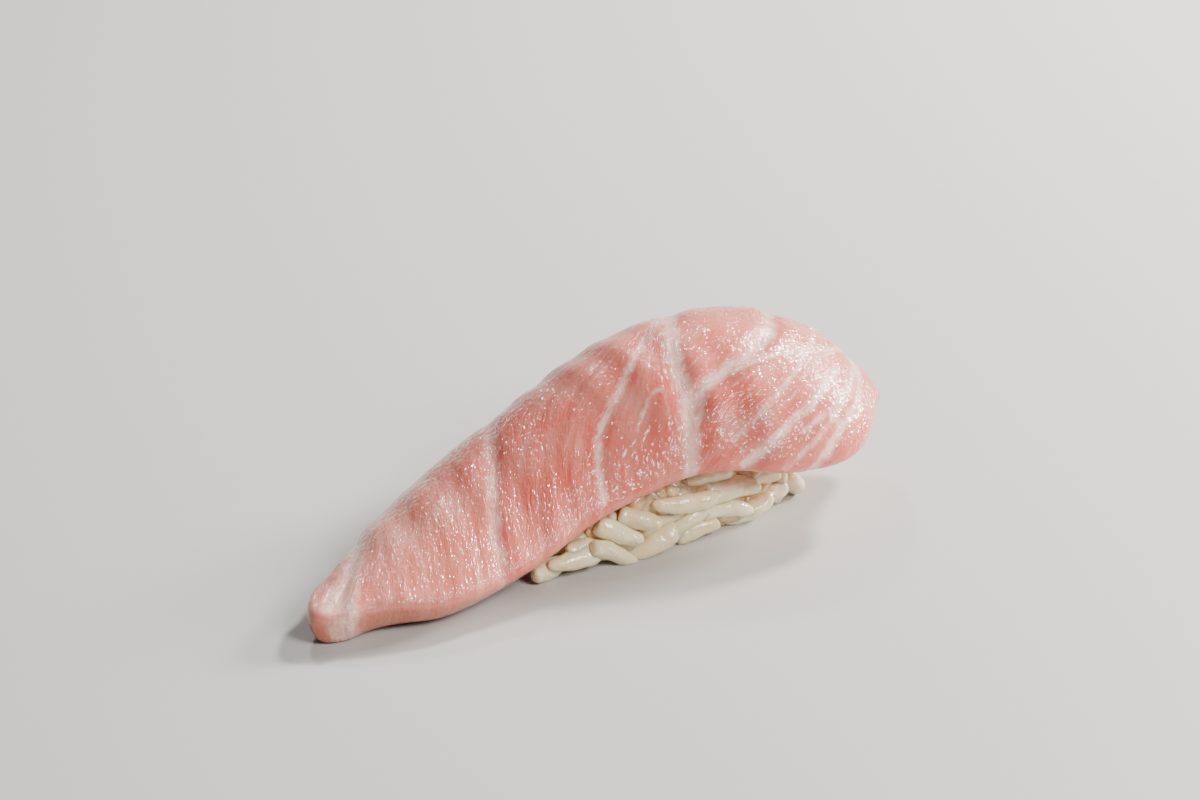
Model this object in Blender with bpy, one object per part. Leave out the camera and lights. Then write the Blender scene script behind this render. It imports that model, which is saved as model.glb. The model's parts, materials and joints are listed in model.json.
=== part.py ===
"""Nigiri: a slice of fatty tuna belly draped over a hand-pressed ball of rice.

Two pieces: "fish", a slab that arches over the rice and droops at both ends, and "rice", a pressed
core with the grains that show fused onto it. X runs along the slice from its long thin tail to its
pointed end, -Y is the side shown to the guest, +Z is up. All sizes below are in millimetres.
"""

import math
import random

import bmesh
import bpy
import numpy as np
from mathutils import Euler, Matrix, Vector

MM = 0.001
ORIGIN = (-0.539, -3.013, 0.0)  # the drawing's point that becomes the part's origin

# The slice, at stations along its length. The ridge is the highest line of its top face. On each side
# of the ridge the top face is an arc: its girth is the arc's length, its drop the slope at the edge.
STATION_X = (-44, -38, -29, -17, -4, 9, 21, 31, 37, 43.4)
RIDGE_Y = (-10.2, -9.2, -6.2, -2.4, -0.6, -0.8, -1.6, -2.6, -3.6, -5.6)
RIDGE_Z = (4.1, 5.5, 7.9, 11.6, 17.0, 22.4, 23.9, 21.4, 17.2, 8.4)
FRONT_GIRTH = (3.0, 4.6, 11.4, 15.7, 17.2, 20.7, 25.4, 21.6, 13.0, 8.0)
BACK_GIRTH = (4.0, 6.5, 12.0, 16.0, 17.5, 19.0, 18.0, 15.2, 11.0, 6.0)
FRONT_DROP = (10, 22, 39, 50, 61, 70, 74, 71, 62, 56)
BACK_DROP = (18, 27, 40, 52, 61, 64, 62, 58, 52, 44)
THICKNESS = (4.3, 4.7, 5.0, 5.4, 5.5, 5.5, 5.2, 4.6, 3.8, 2.8)
TAIL_ROUND = 3.5  # how far the tail's corners lie behind its tip
TAIL_ROUND_REACH = 12.0
TIP_ROUND = 6.4
TIP_ROUND_REACH = 14.0
TIP_SKEW = 0.1
EDGE_SOFTNESS = 0.7  # how far the cut edges are rounded off the faces
EDGE_BULGE = 0.3  # and how far they stand out between them
SLICE_ROWS = 68
SLICE_COLUMNS = 22

# Seams of fat, sunk into the top face: depth, half width, then places along X and across the slice,
# where -1 is its front edge and 1 its back edge.
SEAMS = (
    (0.25, 1.6, ((-41.0, -0.9), (-40.0, -0.2), (-37.0, 0.3), (-31.0, 0.9))),
    (0.30, 1.2, ((-21.0, -1.0), (-18.8, -0.55), (-13.8, 0.0), (-9.0, 0.5), (-5.0, 1.0))),
    (0.15, 1.8, ((-5.0, -0.9), (-2.5, -0.5), (3.9, -0.2), (13.3, 0.2), (20.0, 0.7))),
    (0.25, 1.4, ((6.5, -1.0), (8.2, -0.7), (10.7, -0.25), (15.4, 0.17), (23.0, 0.8))),
    (0.40, 1.1, ((9.5, -0.62), (12.0, -0.48), (18.6, -0.35), (26.0, -0.13), (31.0, 0.35), (34.0, 0.9))),
    (0.20, 1.2, ((13.2, -0.96), (19.1, -0.78), (24.6, -0.66), (31.0, -0.5))),
    (0.25, 1.2, ((22.0, -1.0), (27.7, -0.82), (33.8, -0.7), (36.8, -0.47), (38.0, 0.0))),
)
SEAM_STEPS = 16
FLAKE_PITCH = 6.3
FLAKE_LEAN = 2.5
FLAKE_HEIGHT = 0.07

# The ball of rice
RICE_LEFT = -15.0
RICE_RIGHT = 28.4
RICE_Y = -1.6
RICE_HALF_WIDTH = 10.8
RICE_CORE_HEIGHT = 17.5
RICE_SQUARENESS = 2.6
RICE_CUTS = 8
SEAT_GAP = 0.75
GRAIN_LENGTH = 7.0
GRAIN_WIDTH = 2.8
GRAIN_PLUMPNESS = 0.5
GRAIN_SINK = 0.55
GRAIN_SIDES = 5
GRAIN_RINGS = 4

# Grains of the shown side, one by one: place along X, height, how far out, tilt and turn in degrees,
# length and width
FRONT_GRAINS = (
    (-10.6, 1.3, 2.2, 5, -8, 6.5, 2.4),
    (-7.5, 2.3, 2.0, 2, -4, 8.2, 2.8),
    (-6.0, 3.6, 0.9, 0, 0, 6.0, 2.2),
    (-3.1, 1.3, 1.6, -32, 0, 6.9, 2.4),
    (-2.0, 4.1, 1.1, -24, 25, 5.8, 2.7),
    (0.8, 6.1, 1.5, -12, 35, 4.8, 2.7),
    (2.8, 1.4, 1.2, 19, 6, 6.9, 2.8),
    (7.9, 2.9, 0.6, 23, 4, 7.5, 2.8),
    (7.7, 5.8, 1.5, -5, 6, 8.6, 2.4),
    (4.0, 7.2, 0.3, 1, 0, 8.2, 2.8),
    (9.7, 1.3, 0.5, 10, 10, 5.6, 2.5),
    (15.1, 5.3, 0.4, -8, 0, 8.2, 3.6),
    (14.4, 2.7, 0.8, -11, 2, 7.8, 2.3),
    (18.1, 1.4, 1.0, 13, 8, 6.8, 2.3),
    (24.3, 1.9, 1.1, 76, 0, 4.4, 1.8),
    (26.0, 2.6, 1.5, -41, 14, 5.6, 2.8),
    (25.6, 4.6, 0.8, -8, 10, 5.4, 2.4),
    (22.1, 1.8, 0.4, 5, 4, 6.0, 2.2),
    (-2.4, 6.2, 0.1, 11, 0, 7.0, 2.4),
    (6.4, 1.1, 0.0, -1, 0, 6.8, 2.1),
    (12.4, 7.6, 0.1, -4, 0, 6.4, 2.6),
    (20.1, 5.2, 0.2, -10, 0, 7.0, 2.7),
)

# The grains all round, by rule: rows one above the other, set deeper where the shown ones lie on top
ROW_HEIGHTS = (1.4, 3.6, 5.9, 8.2, 10.6)
ROW_SPACING = 5.2
ROW_SHOWN_FROM_DEG = 200
ROW_SHOWN_TO_DEG = 340
ROW_SHOWN_DEPTH = 0.9
RULE_SEED = 11
GRAIN_COLOUR = (0.72, 0.66, 0.53, 1.0)
FLESH_COLOUR = (0.80, 0.36, 0.32, 1.0)


def clear_scene():
    for old in list(bpy.data.objects):
        bpy.data.objects.remove(old)


def make_material(name, colour, roughness):
    material = bpy.data.materials.new(name)
    material.use_nodes = True
    shader = material.node_tree.nodes["Principled BSDF"]
    shader.inputs["Base Color"].default_value = colour
    shader.inputs["Roughness"].default_value = roughness
    shader.inputs["Metallic"].default_value = 0.0
    material.diffuse_color = colour
    return material


def in_metres(point):
    """A point of the drawing, in the part's own frame."""
    return (Vector(point) - Vector(ORIGIN)) * MM


def smooth_line(places, values, x):
    """A smooth curve through values at places, read at x."""
    places, values, x = (np.asarray(a, float) for a in (places, values, x))
    span = np.diff(places)
    rise = np.diff(values) / span
    slope = np.empty_like(values)
    slope[0], slope[-1] = rise[0], rise[-1]
    slope[1:-1] = (rise[:-1] * span[1:] + rise[1:] * span[:-1]) / (span[:-1] + span[1:])
    i = np.clip(np.searchsorted(places, x) - 1, 0, len(span) - 1)
    t = (x - places[i]) / span[i]
    bend = (2 * t**3 - 3 * t**2 + 1) * values[i] + (3 * t**2 - 2 * t**3) * values[i + 1]
    lean = (t**3 - 2 * t**2 + t) * slope[i] + (t**3 - t**2) * slope[i + 1]
    return bend + lean * span[i]


def plan_x(along, across):
    """X of a point of the slice; its ends are rounded in plan, so the corners lie further in."""
    low, high = STATION_X[0], STATION_X[-1]
    x = low + (high - low) * along
    tail = np.clip(1 - (x - low) / TAIL_ROUND_REACH, 0, 1)
    tip = np.clip(1 - (high - x) / TIP_ROUND_REACH, 0, 1)
    tail_corner = TAIL_ROUND * tail * np.abs(across) ** 2.5
    tip_corner = TIP_ROUND * tip**1.2 * (across - TIP_SKEW) ** 2
    return x + tail_corner - tip_corner


def side_arc(x, front):
    """Radius and drop, in radians, of the top face's arc on one side of the ridge."""
    girth = smooth_line(STATION_X, np.where(front, FRONT_GIRTH, BACK_GIRTH), x)
    drop = np.radians(smooth_line(STATION_X, np.where(front, FRONT_DROP, BACK_DROP), x))
    return girth / drop, drop


def slice_top(along, across):
    """A point of the slice's top face, without its relief."""
    x = plan_x(along, across)
    front_radius, front_drop = side_arc(x, True)
    back_radius, back_drop = side_arc(x, False)
    radius = np.where(across < 0, front_radius, back_radius)
    angle = np.where(across < 0, front_drop, back_drop) * across
    y = smooth_line(STATION_X, RIDGE_Y, x) + radius * np.sin(angle)
    z = smooth_line(STATION_X, RIDGE_Z, x) - radius * (1 - np.cos(angle))
    return np.stack([x, y, z], -1)


def way_out(along, across):
    """The unit direction out of the slice's top face."""
    step = 0.001
    lengthways = slice_top(along + step, across) - slice_top(along - step, across)
    crossways = slice_top(along, across + step) - slice_top(along, across - step)
    out = np.cross(lengthways, crossways)
    return out / np.linalg.norm(out, axis=-1, keepdims=True)


def seam_distance(x, across, places):
    """How far points of the top face lie from a seam, measured on the face."""
    knots = np.arange(len(places))
    fine = np.linspace(0, knots[-1], SEAM_STEPS * len(places))
    seam_x = smooth_line(knots, [place[0] for place in places], fine)
    seam_across = smooth_line(knots, [place[1] for place in places], fine)
    front_girth = smooth_line(STATION_X, FRONT_GIRTH, x)
    back_girth = smooth_line(STATION_X, BACK_GIRTH, x)
    girth = np.where(across < 0, front_girth, back_girth)[..., None]
    gaps = (x[..., None] - seam_x) ** 2 + ((across[..., None] - seam_across) * girth) ** 2
    return np.sqrt(gaps.min(axis=-1))


def relief(x, across):
    """Height of the top face's own relief: a groove along each seam, and low flakes between them."""
    phase = 2 * np.pi * (x - FLAKE_LEAN * across) / FLAKE_PITCH
    height = FLAKE_HEIGHT * np.sin(phase + 1.3 * np.sin(x / 7.9)) * (1 + np.sin(x / 4.7 + 2 * across))
    for depth, width, places in SEAMS:
        height = height - depth * np.exp(-((seam_distance(x, across, places) / width) ** 2))
    return height


def slice_rim(last_row, last_column):
    """Grid places round the slice's outline: front edge, pointed end, back edge, tail."""
    front = [(row, 0) for row in range(last_row)]
    tip = [(last_row, column) for column in range(last_column)]
    back = [(row, last_column) for row in range(last_row, 0, -1)]
    tail = [(0, column) for column in range(last_column, 0, -1)]
    return front + tip + back + tail


def make_slice(collection, material):
    """An arched top face, an under face its own thickness below, and a softly rounded cut edge."""
    rows, columns = SLICE_ROWS, SLICE_COLUMNS
    places = np.meshgrid(np.linspace(0, 1, rows + 1), np.linspace(-1, 1, columns + 1), indexing="ij")
    along, across = places
    smooth = slice_top(along, across)
    out = way_out(along, across)
    top = smooth + out * relief(smooth[..., 0], across)[..., None]
    under = smooth - out * smooth_line(STATION_X, THICKNESS, smooth[..., 0])[..., None]

    rim = slice_rim(rows, columns)
    middles = []
    for row, column in rim:
        inner = (min(max(row, 1), rows - 1), min(max(column, 1), columns - 1))
        sideways = top[row, column] - top[inner]
        sideways = sideways / np.linalg.norm(sideways) * EDGE_BULGE
        middles.append((top[row, column] + under[row, column]) / 2 + sideways)
    for row, column in rim:
        top[row, column] -= out[row, column] * EDGE_SOFTNESS
        under[row, column] += out[row, column] * EDGE_SOFTNESS
    under[..., 2] = np.maximum(under[..., 2], 0.0)

    def corner(face, row, column):
        return face * (rows + 1) * (columns + 1) + row * (columns + 1) + column

    faces = []
    for row in range(rows):
        for column in range(columns):
            square = ((row, column), (row + 1, column), (row + 1, column + 1), (row, column + 1))
            faces.append([corner(0, *place) for place in square])
            faces.append([corner(1, *place) for place in reversed(square)])
    first_middle = corner(2, 0, 0)
    for index, place in enumerate(rim):
        after = (index + 1) % len(rim)
        middle, next_middle = first_middle + index, first_middle + after
        faces.append((corner(0, *place), middle, next_middle, corner(0, *rim[after])))
        faces.append((middle, corner(1, *place), corner(1, *rim[after]), next_middle))

    points = [*top.reshape(-1, 3), *under.reshape(-1, 3), *middles]
    mesh = bpy.data.meshes.new("fish")
    mesh.from_pydata([in_metres(point) for point in points], [], faces)
    mesh.shade_smooth()
    fish = bpy.data.objects.new("fish", mesh)
    collection.objects.link(fish)
    fish.data.materials.append(material)
    return fish


def seat_limit(x, y):
    """The height that the rice stays under at a place, so that it clears the slice."""
    x = float(np.clip(x, STATION_X[0], STATION_X[-1]))
    off = y - float(smooth_line(STATION_X, RIDGE_Y, x))
    radius, drop = (float(a) for a in side_arc(x, off < 0))
    ridge = smooth_line(STATION_X, RIDGE_Z, (x - 0.5, x, x + 0.5))
    steepness = math.hypot(1.0, float(ridge[2] - ridge[0]))
    thickness = float(smooth_line(STATION_X, THICKNESS, x)) * steepness
    inner = radius - thickness - SEAT_GAP
    centre_z = float(ridge[1]) - radius
    if abs(off) < inner * math.sin(drop):
        return centre_z + math.sqrt(inner**2 - off**2)
    if abs(off) < radius * math.sin(drop) + SEAT_GAP:
        return centre_z + inner * math.cos(drop)
    return RICE_CORE_HEIGHT


def core_middle():
    return np.array([(RICE_RIGHT + RICE_LEFT) / 2, RICE_Y, 0.0])


def core_half():
    return np.array([(RICE_RIGHT - RICE_LEFT) / 2, RICE_HALF_WIDTH, RICE_CORE_HEIGHT])


def core_surface(direction):
    """The point of the pressed core that lies in a direction from its middle at the table."""
    reach = (np.abs(direction / core_half()) ** RICE_SQUARENESS).sum() ** (1 / RICE_SQUARENESS)
    return core_middle() + direction / reach


def make_core(collection, material):
    """The pressed rice inside: a rounded block with a flat foot, its top fitted under the slice."""
    mesh = bpy.data.meshes.new("rice")
    build = bmesh.new()
    bmesh.ops.create_cube(build, size=2.0)
    bmesh.ops.subdivide_edges(build, edges=build.edges[:], cuts=RICE_CUTS, use_grid_fill=True)
    half = core_half()
    for vertex in build.verts:
        block = np.array(vertex.co) * (half[0], half[1], half[2] / 2) + (0, 0, half[2] / 2)
        x, y, z = core_surface(block + (0, 0, 1e-6))
        vertex.co = in_metres((x, y, min(z, seat_limit(x, y))))
    build.to_mesh(mesh)
    build.free()
    core = bpy.data.objects.new("rice", mesh)
    collection.objects.link(core)
    core.data.materials.append(material)
    return core


def on_side(x, height, out, tilt, turn, length, width):
    """A grain on the shown side of the core: its middle, its rotation and its sizes."""
    share = min(abs(x - core_middle()[0]) / core_half()[0], 1.0)
    level = height / RICE_CORE_HEIGHT
    left = max(1 - share**RICE_SQUARENESS - level**RICE_SQUARENESS, 0.02)
    depth = RICE_HALF_WIDTH * left ** (1 / RICE_SQUARENESS)
    spin = Euler((0, -math.radians(tilt), -math.radians(turn)))
    middle = Vector((x, RICE_Y - depth - out + GRAIN_SINK, height))
    return middle, spin.to_matrix(), Matrix.Diagonal((length, width, width))


def round_the_core(bearing, height, out, tilt):
    """A grain by its bearing round the core, in degrees from +X: it lies along the side."""
    turn = math.radians(bearing)
    half = core_half()
    way = np.array([math.cos(turn), math.sin(turn) * 0.5, 0.0]) * half[0]
    level = 1 - (height / RICE_CORE_HEIGHT) ** RICE_SQUARENESS
    foot = (core_surface(way) - core_middle()) * level ** (1 / RICE_SQUARENESS)
    slope = np.sign(foot[:2]) * np.abs(foot[:2] / half[:2]) ** (RICE_SQUARENESS - 1) / half[:2]
    slope = slope / np.linalg.norm(slope)
    middle = core_middle()[:2] + foot[:2] + slope * (out - GRAIN_SINK)
    spin = Euler((0, -math.radians(tilt), math.atan2(slope[0], -slope[1])))
    sizes = Matrix.Diagonal((GRAIN_LENGTH, GRAIN_WIDTH, GRAIN_WIDTH))
    return Vector((middle[0], middle[1], height)), spin.to_matrix(), sizes


def rule_grains():
    """The grains all round the core, row above row."""
    draw = random.Random(RULE_SEED)
    half = core_half()
    poses = []
    for row, height in enumerate(ROW_HEIGHTS):
        bearing = 6.0 * (row % 2)
        while bearing < 356:
            high = height + draw.uniform(-0.5, 0.5)
            out = draw.uniform(-0.2, 0.9)
            if ROW_SHOWN_FROM_DEG < bearing < ROW_SHOWN_TO_DEG:
                out -= ROW_SHOWN_DEPTH
            tilt = draw.choice((-1, 1)) * draw.triangular(0, 75, 15)
            poses.append(round_the_core(bearing, high, out, tilt))
            turn = math.radians(bearing)
            reach = math.hypot(half[0] * math.sin(turn), half[1] * math.cos(turn))
            bearing += math.degrees(ROW_SPACING * draw.uniform(0.85, 1.15) / reach)
    return poses


def grain_shape():
    """One cooked grain, a unit long and wide: a plump spindle with few sides."""
    build = bmesh.new()
    bmesh.ops.create_uvsphere(build, u_segments=GRAIN_SIDES, v_segments=GRAIN_RINGS, radius=0.5)
    bmesh.ops.rotate(build, verts=build.verts[:], matrix=Matrix.Rotation(math.pi / 2, 3, "Y"))
    for vertex in build.verts:
        girth = max(2 * math.hypot(vertex.co.y, vertex.co.z), 1e-6)
        vertex.co.y *= girth ** (GRAIN_PLUMPNESS - 1)
        vertex.co.z *= girth ** (GRAIN_PLUMPNESS - 1)
    return build


def seat_grain(middle, form, corners):
    """Moves a grain up off the table or down off the slice; None where there is no room for it."""
    for _ in range(6):
        placed = [middle + form @ corner for corner in corners]
        below = min(p.z for p in placed)
        over = max(p.z - seat_limit(p.x, p.y) for p in placed)
        if below >= 0 and over <= 0:
            return middle
        if below < 0 and over > 0:
            return None
        middle = middle + Vector((0, 0, -below if below < 0 else -over))
    return None


def shells_of(build):
    """The connected shells of a mesh, each as a list of its faces."""
    waiting = set(build.faces)
    shells = []
    while waiting:
        shell = []
        front = [waiting.pop()]
        while front:
            face = front.pop()
            shell.append(face)
            beside = {other for edge in face.edges for other in edge.link_faces} & waiting
            waiting -= beside
            front.extend(beside)
        shells.append(shell)
    return shells


def keep_outer_shell(mesh):
    """Closes the sealed gaps between grains, which show nowhere, by leaving only the outer skin."""
    build = bmesh.new()
    build.from_mesh(mesh)
    shells = sorted(shells_of(build), key=len)
    inside = [face for shell in shells[:-1] for face in shell]
    bmesh.ops.delete(build, geom=inside, context="FACES")
    build.to_mesh(mesh)
    build.free()


def make_rice(collection, material):
    """The core with every grain that shows fused onto it."""
    core = make_core(collection, material)
    grains = bpy.data.collections.new("grains")
    bpy.context.scene.collection.children.link(grains)
    shape = grain_shape()
    corners = [v.co.copy() for v in shape.verts]
    poses = [on_side(*grain) for grain in FRONT_GRAINS] + rule_grains()
    for index, (middle, spin, sizes) in enumerate(poses):
        form = spin @ sizes
        seated = seat_grain(middle, form, corners)
        if seated is None:
            continue
        mesh = bpy.data.meshes.new(f"grain_{index}")
        shape.to_mesh(mesh)
        place = Matrix.Translation(in_metres(seated))
        mesh.transform(place @ form.to_4x4() @ Matrix.Scale(MM, 4))
        grains.objects.link(bpy.data.objects.new(f"grain_{index}", mesh))
    shape.free()

    union = core.modifiers.new("Grains", "BOOLEAN")
    union.operation = "UNION"
    union.operand_type = "COLLECTION"
    union.collection = grains
    union.solver = "MANIFOLD"
    graph = bpy.context.evaluated_depsgraph_get()
    joined = bpy.data.meshes.new_from_object(core.evaluated_get(graph))
    core.modifiers.remove(union)
    keep_outer_shell(joined)
    core.data = joined
    for grain in list(grains.objects):
        bpy.data.objects.remove(grain)
    bpy.data.collections.remove(grains)
    return core


def main():
    clear_scene()
    nigiri = bpy.data.collections.new("nigiri")
    bpy.context.scene.collection.children.link(nigiri)
    flesh = make_material("flesh", FLESH_COLOUR, 0.35)
    grain = make_material("cooked_rice", GRAIN_COLOUR, 0.4)
    make_slice(nigiri, flesh)
    make_rice(nigiri, grain)


main()
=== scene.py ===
"""Nigiri with fatty tuna belly: the looks of the fish slice and of the rice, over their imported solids.

X runs along the slice from its thin tail to its pointed end, -Y is the shown side, +Z is up. Shapes
are worked out in millimetres, on the same curves as the solids, and become metres in in_metres.
"""

import json
import math
import random

import bmesh
import bpy
import numpy as np
from bpy.props import FloatProperty, FloatVectorProperty, IntProperty, PointerProperty
from mathutils import Euler, Matrix, Vector

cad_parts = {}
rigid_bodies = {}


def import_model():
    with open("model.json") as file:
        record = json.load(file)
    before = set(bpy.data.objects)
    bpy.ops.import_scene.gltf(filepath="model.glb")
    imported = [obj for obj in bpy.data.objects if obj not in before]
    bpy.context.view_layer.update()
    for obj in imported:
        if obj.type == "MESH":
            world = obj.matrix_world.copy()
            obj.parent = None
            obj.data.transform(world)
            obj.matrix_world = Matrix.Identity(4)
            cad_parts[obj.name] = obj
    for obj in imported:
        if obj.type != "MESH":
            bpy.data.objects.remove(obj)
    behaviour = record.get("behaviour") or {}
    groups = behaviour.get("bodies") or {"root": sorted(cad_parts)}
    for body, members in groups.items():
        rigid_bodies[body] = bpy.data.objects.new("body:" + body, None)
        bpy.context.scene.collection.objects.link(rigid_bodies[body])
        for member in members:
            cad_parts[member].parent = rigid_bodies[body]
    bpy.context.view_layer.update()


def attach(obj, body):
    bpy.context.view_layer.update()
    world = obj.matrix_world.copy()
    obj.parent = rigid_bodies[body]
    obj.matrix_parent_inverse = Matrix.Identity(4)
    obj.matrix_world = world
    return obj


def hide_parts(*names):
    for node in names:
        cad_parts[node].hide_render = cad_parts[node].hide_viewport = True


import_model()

bl_info = {
    "name": "Fatty tuna nigiri",
    "version": (1, 0, 0),
    "blender": (4, 5, 0),
    "location": "3D View > Sidebar > Nigiri",
    "description": "Builds a nigiri: a marbled slice of tuna belly over pressed rice",
    "category": "Object",
}

MM = 0.001
ORIGIN = (-0.539, -3.013, 0.0)

# The slice's curves, at stations along its length, in the drawing's millimetres
STATION_X = (-44, -38, -29, -17, -4, 9, 21, 31, 37, 43.4)
RIDGE_Y = (-10.2, -9.2, -6.2, -2.4, -0.6, -0.8, -1.6, -2.6, -3.6, -5.6)
RIDGE_Z = (4.1, 5.5, 7.9, 11.6, 17.0, 22.4, 23.9, 21.4, 17.2, 8.4)
FRONT_GIRTH = (3.0, 4.6, 11.4, 15.7, 17.2, 20.7, 25.4, 21.6, 13.0, 8.0)
BACK_GIRTH = (4.0, 6.5, 12.0, 16.0, 17.5, 19.0, 18.0, 15.2, 11.0, 6.0)
FRONT_DROP = (10, 22, 39, 50, 61, 70, 74, 71, 62, 56)
BACK_DROP = (18, 27, 40, 52, 61, 64, 62, 58, 52, 44)
THICKNESS = (4.3, 4.7, 5.0, 5.4, 5.5, 5.5, 5.2, 4.6, 3.8, 2.8)
TAIL_ROUND = 3.5
TAIL_ROUND_REACH = 12.0
TIP_ROUND = 6.4
TIP_ROUND_REACH = 14.0
TIP_SKEW = 0.1
TAIL_POWER = 2.5
TIP_POWER = 1.2
EDGE_SOFTNESS = 0.7
EDGE_BULGE = 0.3
EDGE_REACH = 1.5  # how far in from the cut edge its rounding starts
FLAKE_PITCH = 6.3
FLAKE_LEAN = 2.5
FLAKE_HEIGHT = 0.07
FLAKE_WAVER = (1.3, 7.9)  # how far their lines waver, and over what length
FLAKE_PATCHES = (4.7, 2)  # how they come and go along X and across
SLICE_ROWS = 330
SLICE_COLUMNS = 120
RIM_RINGS = 6
SEAM_STEPS = 16

# Courses of the seams of fat: places along X and across the slice, from -1 at the front to 1 behind
TAIL_COURSE = ((-41.0, -0.9), (-40.0, -0.2), (-37.0, 0.3), (-31.0, 0.9))
LEFT_COURSE = ((-21.0, -1.0), (-18.8, -0.55), (-13.8, 0.0), (-9.0, 0.5), (-5.0, 1.0))
SLANT_COURSE = ((-5.0, -0.9), (-2.5, -0.5), (3.9, -0.2), (13.3, 0.2), (20.0, 0.7))
MIDDLE_COURSE = ((6.5, -1.0), (8.2, -0.7), (10.7, -0.25), (15.4, 0.17), (23.0, 0.8), (25.6, 1.02))
FAN_COURSE = (
    (9.5, -0.62), (12.0, -0.48), (18.6, -0.35), (26.0, -0.13), (31.0, 0.35), (34.0, 0.9), (34.6, 1.02),
)
LOW_COURSE = ((13.2, -0.96), (19.1, -0.78), (24.6, -0.66), (31.0, -0.5))
TIP_COURSE = ((22.0, -1.0), (27.7, -0.82), (33.8, -0.7), (36.8, -0.47), (38.0, 0.0))
BROW_COURSE = ((16.0, -0.4), (20.2, -0.38), (26.5, -0.36), (32.0, -0.35), (38.2, -0.22))
SIDE_COURSE = ((21.8, -0.8), (24.4, -0.75), (28.3, -0.69), (31.3, -0.62), (35.5, -0.53))
TWIN_COURSE = ((2.0, -0.58), (3.9, -0.48), (5.5, -0.41), (6.8, -0.4))
INNER_COURSE = ((12.5, -0.82), (19.0, -0.62), (25.5, -0.44), (31.5, -0.2), (35.0, 0.1))
OUTER_COURSE = ((18.0, -0.98), (24.0, -0.83), (29.5, -0.69), (34.5, -0.53), (37.5, -0.3))

# Grooves: depth, half width, course
SEAMS = (
    (0.25, 1.6, TAIL_COURSE),
    (0.30, 1.2, LEFT_COURSE),
    (0.15, 1.8, SLANT_COURSE),
    (0.25, 1.4, MIDDLE_COURSE),
    (0.40, 1.1, FAN_COURSE),
    (0.20, 1.2, LOW_COURSE),
    (0.25, 1.2, TIP_COURSE),
)
# Lines of fat in the flesh, with painted highlights among them: amount, half width, course
FAT_AND_GLOSS_LINES = (
    (0.85, 2.6, TAIL_COURSE),
    (0.70, 1.3, LEFT_COURSE),
    # Mostly painted highlight: the two slant lines are pale streaks that stand for narrow glossy glints,
    # partly fat.
    (0.40, 1.4, SLANT_COURSE),
    (0.80, 0.5, SLANT_COURSE),
    (0.90, 1.3, MIDDLE_COURSE),
    (0.85, 1.1, FAN_COURSE),
    (0.75, 0.6, INNER_COURSE),
    (0.90, 0.8, LOW_COURSE),
    (0.70, 0.6, OUTER_COURSE),
    (0.90, 0.9, TIP_COURSE),
    (0.80, 0.7, BROW_COURSE),
    (0.70, 0.6, SIDE_COURSE),
    (0.80, 0.45, TWIN_COURSE),
)
# Bands of redder flesh on the right of seams: amount, half width, how far to the right, course
DEEP_LINES = (
    (0.55, 1.4, 2.1, MIDDLE_COURSE),
    (0.40, 1.3, 1.9, LEFT_COURSE),
    (0.75, 1.2, 2.0, FAN_COURSE),
    (0.65, 1.0, 1.7, LOW_COURSE),
    (0.60, 1.1, 1.8, TIP_COURSE),
    (0.50, 0.9, 1.4, BROW_COURSE),
)
# The cream line on the pointed end's lower cut edge is partly a rim of fat, partly a painted highlight
# along that edge.
EDGE_FAT_AND_GLOSS = 0.95  # the cream line on the cut edge of the pointed end
EDGE_FAT_AND_GLOSS_RISE = (19.0, 23.0)  # where along X it starts and is full
EDGE_FAT_AND_GLOSS_SIDE = 0.2  # how far across the line goes on
# The way the fibres run, on either side of the middle seam: a level for each course that they follow
LEFT_GUIDES = ((-36.0, TAIL_COURSE), (-13.8, LEFT_COURSE), (3.0, SLANT_COURSE), (10.0, MIDDLE_COURSE))
RIGHT_GUIDES = (
    (0.0, FAN_COURSE[1:]), (-3.0, BROW_COURSE[2:]), (-10.0, LOW_COURSE), (-13.5, TIP_COURSE),
)
GUIDE_STIFFNESS = 2.0
GUIDE_STRIDE = 5
BLOCK_BLEND = 0.5
BLOCK_SHIFT = 40  # keeps the patterns of the two sides apart
BLOCK_SLANTS = (0.5, 0.3)

# Patches of tone, some of them partly painted light and shade: middle along X and across, reach along X
# and across, pale amount, deep amount
TONE_LIGHT_AND_SHADE_PATCHES = (
    (-43.0, 0.2, 4.0, 0.9, 0.9, 0.0),
    (-34.0, -0.95, 9.0, 0.22, 0.5, 0.0),
    (-28.0, 0.1, 9.0, 0.8, 0.35, 0.0),
    (-9.5, -0.65, 5.0, 0.35, 0.0, 0.6),
    (-11.0, 0.55, 7.0, 0.4, 0.0, 0.5),
    (2.0, 0.8, 9.0, 0.35, 0.0, 0.7),
    # Partly painted light: this pale patch lies on the top of the right part, where it faces the light.
    (24.5, -0.1, 8.0, 0.4, 0.35, 0.0),
    # Partly painted shade: these deep patches lie low on the front of the pointed end, where that face
    # turns down from the light.
    (21.5, -0.72, 4.0, 0.13, 0.0, 0.8),
    (15.5, -0.75, 2.5, 0.2, 0.0, 0.5),
    (30.0, -0.8, 3.0, 0.12, 0.0, 0.5),
    (41.5, -0.2, 4.0, 1.0, 0.0, 0.4),
)

# Fine relief of the wet face: height, size across the fibres and along them, in millimetres
FIBRE_RELIEF = ((0.050, 1.3, 8.0), (0.030, 0.75, 5.0))
# Soft swells: height and size
SWELL_RELIEF = ((0.05, 7.0), (0.030, 2.2))
FIBRE_SEED = 31
SWELL_SEED = 51
SWELL_SHIFT = 90
WALL_STEP = 0.5  # how far the fibres run on from ring to ring of the cut edge
LATTICE = 256  # cells before the random heights repeat

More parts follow.
